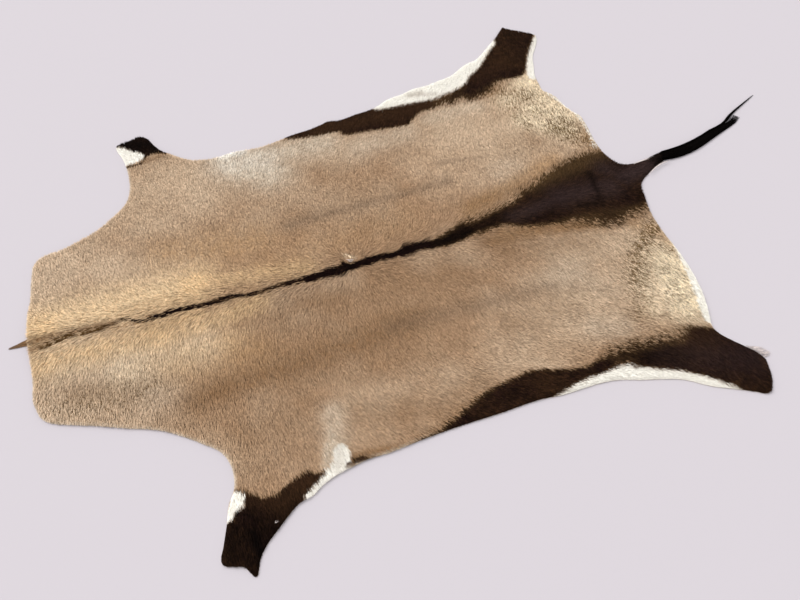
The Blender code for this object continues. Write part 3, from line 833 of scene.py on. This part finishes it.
def write_coat_map(mesh, edge):
    """Stores on the skin how its hair lies, and how deep in the markings and tints the hair rooted at
    each point is, taken at the hair's middle: a hair covers skin that lies behind its root."""
    s = settings()
    points = points_of(mesh)
    plan = plan_of(points)
    flow = hair_flow(plan)
    inside = depth_inside(points[:, :2], edge) / MM
    crest = np.exp(-((from_spine(plan) / CREST_REACH) ** 2)) * (plan[:, 0] < WITHERS)
    length = np.minimum(s.hair_length * (1 + 0.5 * crest), (np.maximum(inside, 0) + FRINGE) * MM)
    write_vector(mesh, "flow", flow)
    write_number(mesh, "hair_length", length)
    middle = points + 0.5 * length[:, None] * flow
    rim = depth_inside(middle[:, :2], edge) / MM
    plan = plan_of(seen_on_floor(middle))
    for name, marks, lines in (
        ("dark_depth", DARK_MARKS, DARK_LINES), ("white_depth", WHITE_MARKS, WHITE_LINES),
    ):
        depth = [depth_inside(plan, smooth_outline(rows)) for rows in marks]
        depth += [depth_in_line(plan, rows) for rows in lines]
        write_number(mesh, name, np.clip(np.max(depth, 0), -60, 60))
    line = np.max([depth_in_line(plan, rows) for rows in DARK_LINES], 0)
    feather = np.where(plan[:, 0] < WITHERS, FEATHER_FRONT, FEATHER_BACK)
    for a0, o0, a1, o1, reach, more in FEATHERED:
        feather = np.maximum(feather, more * stroke_share(plan, (a0, o0), (a1, o1), reach))
    write_number(mesh, "feather", np.where(line > -10, FEATHER_LINE, feather))
    for tint, strokes in TINT_STROKES.items():
        at_rim = tint == "pale"
        share = 0.9 * np.exp(-((np.maximum(rim, 0) / PALE_RIM) ** 2)) if at_rim else np.zeros(len(plan))
        for a0, o0, a1, o1, reach, strength in strokes:
            share = np.maximum(share, strength * stroke_share(plan, (a0, o0), (a1, o1), reach))
        write_number(mesh, tint, share)


class HIDE_OT_skin(bpy.types.Operator):
    """Lays the tanned skin: one flat closed sheet with soft folds, coat side up"""

    bl_idname = "gemsbok.lay_skin"
    bl_label = "Lay the skin"

    def execute(self, context):
        s = settings()
        edge, tree = cut_edge(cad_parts["hide"])
        inner = skin_points(edge, s.skin_spacing)
        flat, faces = triangles_inside(np.concatenate([edge, inner]), len(edge))
        if len(flat) != len(edge) + len(inner):
            raise RuntimeError("the skin's points changed while they were joined")
        top = np.column_stack([flat, skin_height(flat, tree)])
        ring = len(edge)
        low = np.column_stack([edge, np.zeros(ring)])
        base = len(top)
        under_faces = triangles_inside(edge, ring)[1]
        walls = [[i, base + i, base + (i + 1) % ring, (i + 1) % ring] for i in range(ring)]
        under_faces = [[base + i for i in reversed(face)] for face in under_faces]
        skin = new_piece("pelt", np.concatenate([top, low]).tolist(), faces + under_faces + walls)
        mesh = skin.data
        # The skin's top wears the coat's colours with painted shade, darker where it shows between the tufts
        mesh.materials.append(coat_material("undercoat_painted_shade_gemsbok", hairy=False))
        mesh.materials.append(suede_material())
        kinds = np.zeros(len(mesh.polygons), np.int32)
        kinds[len(faces) :] = 1
        mesh.polygons.foreach_set("material_index", kinds)
        mesh.polygons.foreach_set("use_smooth", kinds == 0)
        write_coat_map(mesh, edge)
        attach(skin, BODY)
        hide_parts("hide")
        return {"FINISHED"}


def hair_tuft(material):
    """One lying tuft of hair, root at the origin and tip at x = 1, that rises and then lies down."""
    select_only()
    bpy.ops.mesh.primitive_circle_add(vertices=4, radius=0.5, fill_type="NGON", location=(0.5, 0, 0))
    tuft = bpy.context.object
    tuft.name = "hair_tuft"
    bpy.ops.object.transform_apply(location=True, rotation=True, scale=True)
    mesh = tuft.data
    bpy.ops.object.mode_set(mode="EDIT")
    bpy.ops.mesh.select_all(action="DESELECT")
    bpy.ops.object.mode_set(mode="OBJECT")
    for vertex in mesh.vertices:
        vertex.select = abs(vertex.co.x - 0.5) < 0.01
    bpy.ops.object.mode_set(mode="EDIT")
    bpy.ops.mesh.select_mode(type="VERT")
    bpy.ops.mesh.vert_connect()
    bpy.ops.transform.translate(value=(-0.08, 0, 0.30))
    bpy.ops.object.mode_set(mode="OBJECT")
    points = points_of(mesh)
    for vertex in mesh.vertices:
        if vertex.co.x > 0.9:
            vertex.co.z = 0.22
    write_number(mesh, "reach", points[:, 0])
    mesh.materials.append(material)
    return tuft


def coat_nodes(tuft, seed):
    """Scatters tufts over the skin, lays each the way its hair flows, and makes one mesh of them."""
    s = settings()
    tree = bpy.data.node_groups.new("lay_coat", "GeometryNodeTree")
    for name, side in (("Skin", "INPUT"), ("Coat", "OUTPUT")):
        tree.interface.new_socket(name, in_out=side, socket_type="NodeSocketGeometry")
    put = partial(add_node, tree)
    strand, other, longer, wider = (
        put("FunctionNodeRandomValue", {2: low, 3: high, 8: number}, out=1, data_type="FLOAT")
        for number, low, high in ((1, 0.0, 1.0), (2, 0.0, 1.0), (5, 0.7, 1.25), (6, 0.65, 1.3))
    )
    stray, lean = (
        put("FunctionNodeRandomValue", {0: low, 1: high, 8: number}, data_type="FLOAT_VECTOR")
        for number, low, high in (
            (3, (-0.20, -0.20, 0.0), (0.20, 0.20, 0.0)),
            (4, (-0.5, -0.10, 0.0), (0.5, 0.16, 0.0)),
        )
    )
    flow, length = (
        put("GeometryNodeInputNamedAttribute", {"Name": name}, data_type=kind)
        for name, kind in (("flow", "FLOAT_VECTOR"), ("hair_length", "FLOAT"))
    )

    roots = put(
        "GeometryNodeDistributePointsOnFaces",
        {"Mesh": put("NodeGroupInput"), "Density": float(s.hair_density), "Seed": seed},
        distribute_method="RANDOM",
    )
    for name, value in (("strand", strand), ("strand_other", other)):
        roots = put(
            "GeometryNodeStoreNamedAttribute", {"Geometry": roots, "Name": name, "Value": value},
            data_type="FLOAT",
        )
    swirl = put(
        NOISE, {"Vector": put("GeometryNodeInputPosition"), "Scale": SWIRLS_TO_THE_METRE, "Detail": 1.0},
        out="Color",
    )
    swirl = put(VECTOR, (swirl, (0.5, 0.5, 0.5)), operation="SUBTRACT")
    swirl = put(VECTOR, (swirl, (0.28, 0.28, 0.0)), operation="MULTIPLY")
    way = put(VECTOR, (flow, swirl), operation="ADD")
    way = put(VECTOR, (way, stray), operation="ADD")
    turn = put("FunctionNodeAlignRotationToVector", {"Vector": way}, axis="X", pivot_axis="Z")
    lean = put("FunctionNodeEulerToRotation", (lean,))
    turn = put("FunctionNodeRotateRotation", (turn, lean), rotation_space="LOCAL")
    length = put(MATH, (length, longer), operation="MULTIPLY")
    width = put(MATH, (wider, s.hair_width), operation="MULTIPLY")
    size = put("ShaderNodeCombineXYZ", (length, width, length))
    model = put("GeometryNodeObjectInfo", {"Object": tuft}, out="Geometry")
    coat = put(
        "GeometryNodeInstanceOnPoints",
        {"Points": roots, "Instance": model, "Rotation": turn, "Scale": size},
    )
    put("NodeGroupOutput", (put("GeometryNodeRealizeInstances", (coat,)),))
    return tree


class HIDE_OT_coat(bpy.types.Operator):
    """Grows the short lying coat in five bands from the neck to the rump"""

    bl_idname = "gemsbok.grow_coat"
    bl_label = "Grow the coat"

    def execute(self, context):
        skin = bpy.data.objects["pelt"]
        material = coat_material("guard_hair_gemsbok", hairy=True)
        tuft = hair_tuft(material)
        mesh = skin.data
        kinds = np.empty(len(mesh.polygons), np.int32)
        mesh.polygons.foreach_get("material_index", kinds)
        middle = np.empty(len(mesh.polygons) * 3, np.float32)
        mesh.polygons.foreach_get("center", middle)
        area = np.empty(len(mesh.polygons), np.float32)
        mesh.polygons.foreach_get("area", area)
        along = middle.reshape(-1, 3)[:, 0]
        area = np.where(kinds == 0, area, 0.0)
        order = np.argsort(along)
        filled = np.empty(len(order))
        filled[order] = np.cumsum(area[order]) / area.sum()
        for number, (name, start, end) in enumerate(COAT_PARTS):
            keep = (kinds == 0) & (filled > start) & (filled <= end)
            piece = bpy.data.objects.new(name, mesh.copy())
            bpy.context.scene.collection.objects.link(piece)
            work = bmesh.new()
            work.from_mesh(piece.data)
            work.faces.ensure_lookup_table()
            bmesh.ops.delete(work, geom=[work.faces[i] for i in np.flatnonzero(~keep)], context="FACES")
            work.to_mesh(piece.data)
            work.free()
            grow = piece.modifiers.new("lay_coat", "NODES")
            grow.node_group = coat_nodes(tuft, 20 + number)
            apply_all(piece)
            if len(piece.data.polygons) < 1000:
                raise RuntimeError(f"{name} grew no hair")
            lay_map_flat(piece.data)
            piece.data.name = name
            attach(piece, BODY)
        bpy.data.objects.remove(tuft)
        return {"FINISHED"}


def comb_hairs(
    name, combs, material, seed, steps, thick, root_height, tip_height, rise, curl, seen_at=0.0, stray=0.0
):
    """Combs long tapering hairs along bands and makes one mesh of them. Each row of combs is
    (band, hairs, where they start, how far they run), the last two as shares of the band's length.
    Thickness and heights are in millimetres."""
    chance = np.random.default_rng(seed)
    curve = bpy.data.curves.new(name, "CURVE")
    curve.dimensions = "3D"
    curve.bevel_depth = thick * MM / 2
    curve.bevel_resolution = 0
    curve.use_fill_caps = False
    base = (root_height * MM, tip_height * MM)
    shades = []
    for band, count, starts, runs in combs:
        left, right = place([row[0] for row in band]), place([row[1] for row in band])
        strides = np.linalg.norm(np.diff((left + right) / 2, axis=0), axis=1)
        knots = np.concatenate([[0.0], np.cumsum(strides)]) / strides.sum()
        for _ in range(count):
            share = chance.uniform(0.02, 0.98)
            first = chance.uniform(*starts)
            at = np.linspace(first, min(1.0, first + chance.uniform(*runs)), steps)
            part = np.linspace(0, 1, steps)
            wave = curl * np.sin(part * chance.uniform(2, 6) + chance.uniform(0, 6.3))
            across = np.clip(share + wave + chance.normal(0, 0.08 + stray) * part, -stray, 1.0 + stray)
            side = [np.stack([np.interp(at, knots, line[:, k]) for k in (0, 1)], 1) for line in (left, right)]
            path = under_sight(side[0] + (side[1] - side[0]) * across[:, None], seen_at)
            dome = np.sqrt(np.clip(1 - (2 * share - 1) ** 2, 0.05, 1))
            height = rise * MM * dome * chance.uniform(0.1, 1.0) * (1 - at) ** 0.6
            height += np.interp(at, (0, 1), base)
            spline = curve.splines.new("POLY")
            spline.points.add(steps - 1)
            for i in range(steps):
                spline.points[i].co = (*path[i], height[i], 1.0)
                spline.points[i].radius = max(0.12, min(1.0, 1.25 * (1 - part[i]) + 0.12))
            shades.append(chance.uniform(0, 1))
    piece = bpy.data.objects.new(name, curve)
    bpy.context.scene.collection.objects.link(piece)
    select_only(piece)
    bpy.ops.object.convert(target="MESH")
    piece = bpy.context.object
    ring = len(piece.data.vertices) // (len(shades) * steps)
    if ring * len(shades) * steps != len(piece.data.vertices):
        raise RuntimeError(f"{name} has hairs of uneven length")
    write_number(piece.data, "strand", np.repeat(shades, ring * steps))
    write_number(piece.data, "reach", np.tile(np.repeat(np.linspace(0, 1, steps), ring), len(shades)))
    piece.data.materials.clear()
    piece.data.materials.append(material)
    piece.data.polygons.foreach_set("use_smooth", [True] * len(piece.data.polygons))
    lay_map_flat(piece.data)
    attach(piece, BODY)
    return piece


def band_round(rows, wider=0.0):
    """The two sides of a line of changing width, as a band to comb hair along."""
    rows = np.asarray(rows, float)
    run = np.gradient(rows[:, :2], axis=0)
    run /= np.linalg.norm(run, axis=1, keepdims=True)
    aside = np.stack([-run[:, 1], run[:, 0]], 1) * (rows[:, 2:3] + wider)
    return [(tuple(r - a), tuple(r + a)) for r, a in zip(rows[:, :2], aside)]


class HIDE_OT_crest(bpy.types.Operator):
    """Combs the black crest of long hair down the spine, and the buff hair of the neck's crest"""

    bl_idname = "gemsbok.comb_crest"
    bl_label = "Comb the crest"

    def execute(self, context):
        s = settings()
        black = long_hair_material("crest_hair_black", s.soot, s.dark, 0.6)
        forward = [row for row in DORSAL_STRIPE if row[0] < 830][::-1]
        behind = [row for row in DORSAL_STRIPE if row[0] > 790]
        combs = [
            (band_round(forward), 900, (0.0, 0.96), (0.04, 0.09)),
            (band_round(behind), 320, (0.0, 0.90), (0.10, 0.22)),
            (band_round(STRIPE_SPUR), 26, (0.0, 0.5), (0.4, 0.6)),
        ]
        stripe = comb_hairs(
            "dorsal_stripe_hair", combs, black, seed=34, steps=5, thick=1.3, root_height=7.8,
            tip_height=10.4, rise=2.0, curl=0.25, seen_at=COAT_TOP, stray=0.5,
        )
        brown = long_hair_material("crest_hair_brown", s.brown, s.speck, 0.55)
        combs = [(band_round(rows[::-1], 1.0), 330, (0.0, 0.84), (0.14, 0.26)) for rows in NECK_STRANDS]
        strands = comb_hairs(
            "neck_strand_hair", combs, brown, seed=36, steps=6, thick=1.1, root_height=10.8,
            tip_height=8.6, rise=2.0, curl=0.3, seen_at=COAT_TOP, stray=0.15,
        )
        blond = long_hair_material("crest_hair_buff", s.umber_and_crease_shade, s.buff, 0.55)
        spine = [(along, out, 24) for along, out in SPINE if -1 < along < 320][::-1]
        combs = [(band_round(spine), 380, (0.0, 0.80), (0.12, 0.22))]
        crest = comb_hairs(
            "neck_crest_hair", combs, blond, seed=35, steps=6, thick=1.2, root_height=9.0,
            tip_height=5.0, rise=2.0, curl=0.10,
        )
        return {"FINISHED"}


class HIDE_OT_tail(bpy.types.Operator):
    """Combs the black brush at the tail's end, with the thin wisp that runs on past it"""

    bl_idname = "gemsbok.comb_tail"
    bl_label = "Comb the tail brush"

    def execute(self, context):
        s = settings()
        black = long_hair_material("tail_hair_black", s.brush, [1.3 * part for part in s.brush], 0.42)
        combs = [
            (TAIL_BRUSH_BAND, s.brush_hairs, (0.0, 0.22), (0.50, 0.93)),
            (TAIL_WISP_BAND, s.brush_hairs // 8, (0.0, 0.1), (0.8, 1.0)),
        ]
        brush = comb_hairs(
            "tail_brush_hair", combs, black, seed=31, steps=10, thick=2.0, root_height=1.2,
            tip_height=1.2, rise=9.5, curl=0.06,
        )
        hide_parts("tail_brush")
        combs = [(TAIL_LOCK_BAND, 70, (0.0, 0.5), (0.35, 0.6))]
        locks = comb_hairs(
            "tail_lock_hair", combs, black, seed=40, steps=6, thick=1.5, root_height=8.6,
            tip_height=10.6, rise=0.8, curl=0.08,
        )
        return {"FINISHED"}


class HIDE_OT_tufts(bpy.types.Operator):
    """Combs the wisp past the neck cut, the whitish tuft at the left hock and the stray pale hairs"""

    bl_idname = "gemsbok.comb_tufts"
    bl_label = "Comb the mane wisp, hock tuft and stray hairs"

    def execute(self, context):
        s = settings()
        brown = long_hair_material("mane_hair_brown", s.umber_and_crease_shade, s.grey_and_crease_shade, 0.5)
        wisp = comb_hairs(
            "mane_wisp_hair", [(MANE_BAND, 90, (0.0, 0.3), (0.6, 1.0))], brown, seed=32, steps=8,
            thick=1.1, root_height=0.9, tip_height=0.9, rise=3.2, curl=0.08,
        )
        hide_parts("mane_wisp")
        white = long_hair_material("hock_hair_white", s.frost, s.frost, 0.6)
        tuft = comb_hairs(
            "hock_tuft_hair", [(HOCK_BAND, 95, (0.0, 0.5), (0.4, 0.9))], white, seed=33, steps=6,
            thick=1.0, root_height=0.9, tip_height=0.9, rise=4.5, curl=0.05,
        )
        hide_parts("hock_tuft")
        combs = [
            (TAIL_TOP_BAND, 34, (0.0, 0.6), (0.3, 0.5)),
            (TAIL_UNDERSIDE_BAND, 26, (0.0, 0.7), (0.2, 0.4)),
            (KNEE_FLECK_BAND, 5, (0.0, 0.2), (0.6, 0.8)),
            (SCAR_SKIN_BAND, 15, (0.0, 0.6), (0.3, 0.4)),
        ]
        stray = comb_hairs(
            "pale_stray_hair", combs, white, seed=37, steps=5, thick=1.0, root_height=7.4,
            tip_height=7.4, rise=2.0, curl=0.2, seen_at=COAT_TOP,
        )
        return {"FINISHED"}


class HIDE_OT_scar(bpy.types.Operator):
    """Combs the pale lip and the brown crease of the scar on the back"""

    bl_idname = "gemsbok.comb_scar"
    bl_label = "Comb the scar"

    def execute(self, context):
        s = settings()
        cream = long_hair_material("scar_hair_cream", s.scar, s.cream, 0.6)
        lip = comb_hairs(
            "scar_hair", [(SCAR_LIP_BAND, 54, (0.0, 0.6), (0.3, 0.4))], cream, seed=38, steps=4,
            thick=0.9, root_height=7.0, tip_height=7.6, rise=2.4, curl=0.1, seen_at=COAT_TOP,
        )
        shade = long_hair_material("scar_crease_brown", s.brown, s.umber_and_crease_shade, 0.6)
        crease = comb_hairs(
            "scar_crease_hair", [(SCAR_CREASE_BAND, 18, (0.0, 0.5), (0.4, 0.5))], shade, seed=39,
            steps=4, thick=1.0, root_height=8.0, tip_height=8.0, rise=1.0, curl=0.1, seen_at=COAT_TOP,
        )
        return {"FINISHED"}


class HIDE_OT_stage(bpy.types.Operator):
    """Sets the pale floor, the soft lights and the camera"""

    bl_idname = "gemsbok.set_stage"
    bl_label = "Set the stage"

    def execute(self, context):
        s = settings()
        select_only()
        bpy.ops.mesh.primitive_plane_add(size=FLOOR_SIZE, location=(0, 0, -0.5 * MM))
        floor = bpy.context.object
        floor.name = "floor"
        bpy.ops.object.transform_apply(location=True, rotation=True, scale=True)
        material, put = new_material("floor_paint_matt")
        surface = {"Base Color": s.floor_colour, "Roughness": 0.8, "Specular IOR Level": 0.2, "IOR": 1.5}
        put("ShaderNodeOutputMaterial", {"Surface": put("ShaderNodeBsdfPrincipled", surface)})
        floor.data.materials.append(material)

        lamp = bpy.data.lights.new("key_light", "SUN")
        lamp.energy = s.key_strength
        lamp.angle = math.radians(LIGHT_SPREAD)
        lamp.color = LIGHT_COLOUR
        light = bpy.data.objects.new("key_light", lamp)
        light.rotation_euler = (-Vector(LIGHT_FROM)).to_track_quat("-Z", "Y").to_euler()
        context.scene.collection.objects.link(light)
        world = bpy.data.worlds.new("studio")
        world.use_nodes = True
        back = world.node_tree.nodes["Background"]
        back.inputs[0].default_value = SKY_COLOUR
        back.inputs[1].default_value = SKY_STRENGTH
        context.scene.world = world
        context.scene.view_settings.view_transform = "Standard"

        lens = bpy.data.cameras.new("camera")
        lens.lens = CAMERA_LENS
        lens.sensor_width = SENSOR_WIDTH
        lens.sensor_fit = "HORIZONTAL"
        lens.clip_start, lens.clip_end = 0.05, FLOOR_SIZE
        camera = bpy.data.objects.new("camera", lens)
        camera.location = CAMERA_PLACE
        camera.rotation_euler = (math.radians(CAMERA_TILT), 0.0, math.radians(CAMERA_TURN))
        context.scene.collection.objects.link(camera)
        context.scene.camera = camera
        return {"FINISHED"}


class HIDE_PT_panel(bpy.types.Panel):
    """Lists the hide's sizes, colours and steps"""

    bl_idname = "HIDE_PT_panel"
    bl_label = "Gemsbok hide"
    bl_space_type = "VIEW_3D"
    bl_region_type = "UI"
    bl_category = "Hide"

    def draw(self, context):
        for step in STEPS:
            self.layout.operator(step.bl_idname)
        for name in HideSettings.__annotations__:
            self.layout.prop(context.scene.gemsbok_hide, name)


STEPS = (
    HIDE_OT_stage, HIDE_OT_skin, HIDE_OT_coat, HIDE_OT_crest, HIDE_OT_tail, HIDE_OT_tufts, HIDE_OT_scar,
)
CLASSES = (HideSettings, *STEPS, HIDE_PT_panel)


def register():
    for one in CLASSES:
        bpy.utils.register_class(one)
    bpy.types.Scene.gemsbok_hide = PointerProperty(type=HideSettings)


def unregister():
    del bpy.types.Scene.gemsbok_hide
    for one in reversed(CLASSES):
        bpy.utils.unregister_class(one)


def main():
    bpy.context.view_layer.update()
    register()
    bpy.ops.gemsbok.set_stage()
    bpy.ops.gemsbok.lay_skin()
    bpy.ops.gemsbok.grow_coat()
    bpy.ops.gemsbok.comb_crest()
    bpy.ops.gemsbok.comb_tail()
    bpy.ops.gemsbok.comb_tufts()
    bpy.ops.gemsbok.comb_scar()


if __name__ == "__main__":
    main()
